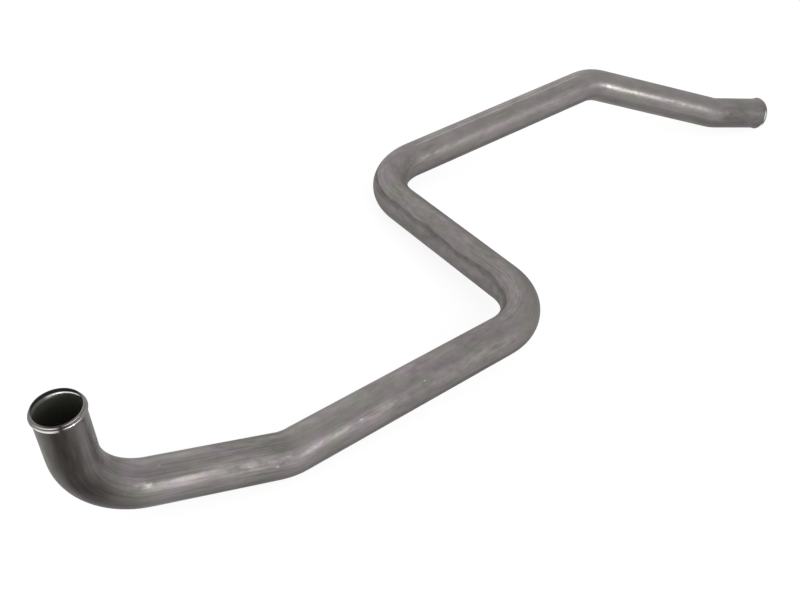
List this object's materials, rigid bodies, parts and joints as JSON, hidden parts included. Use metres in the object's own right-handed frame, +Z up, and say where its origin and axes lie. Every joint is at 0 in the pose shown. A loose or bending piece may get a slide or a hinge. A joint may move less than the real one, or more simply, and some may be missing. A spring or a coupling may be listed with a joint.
{
  "type": "coolant tube",
  "caption": "Bent steel coolant tube for a car engine, open at both ends, with a rolled bead beside each mouth to hold a hose.",
  "frame": {"origin": "on the floor, below the middle of the bounding box", "axes": "+Z up, +X from the near mouth to the far mouth, as the tube lies at rest"},
  "size_m": [1.0437, 0.281, 0.1244],
  "materials": {
    "steel": "bare and satin, mottled, with faint lines along the tube from drawing"
  },
  "bodies": {
    "root": {"tube": "steel"}
  },
  "joints": []
}
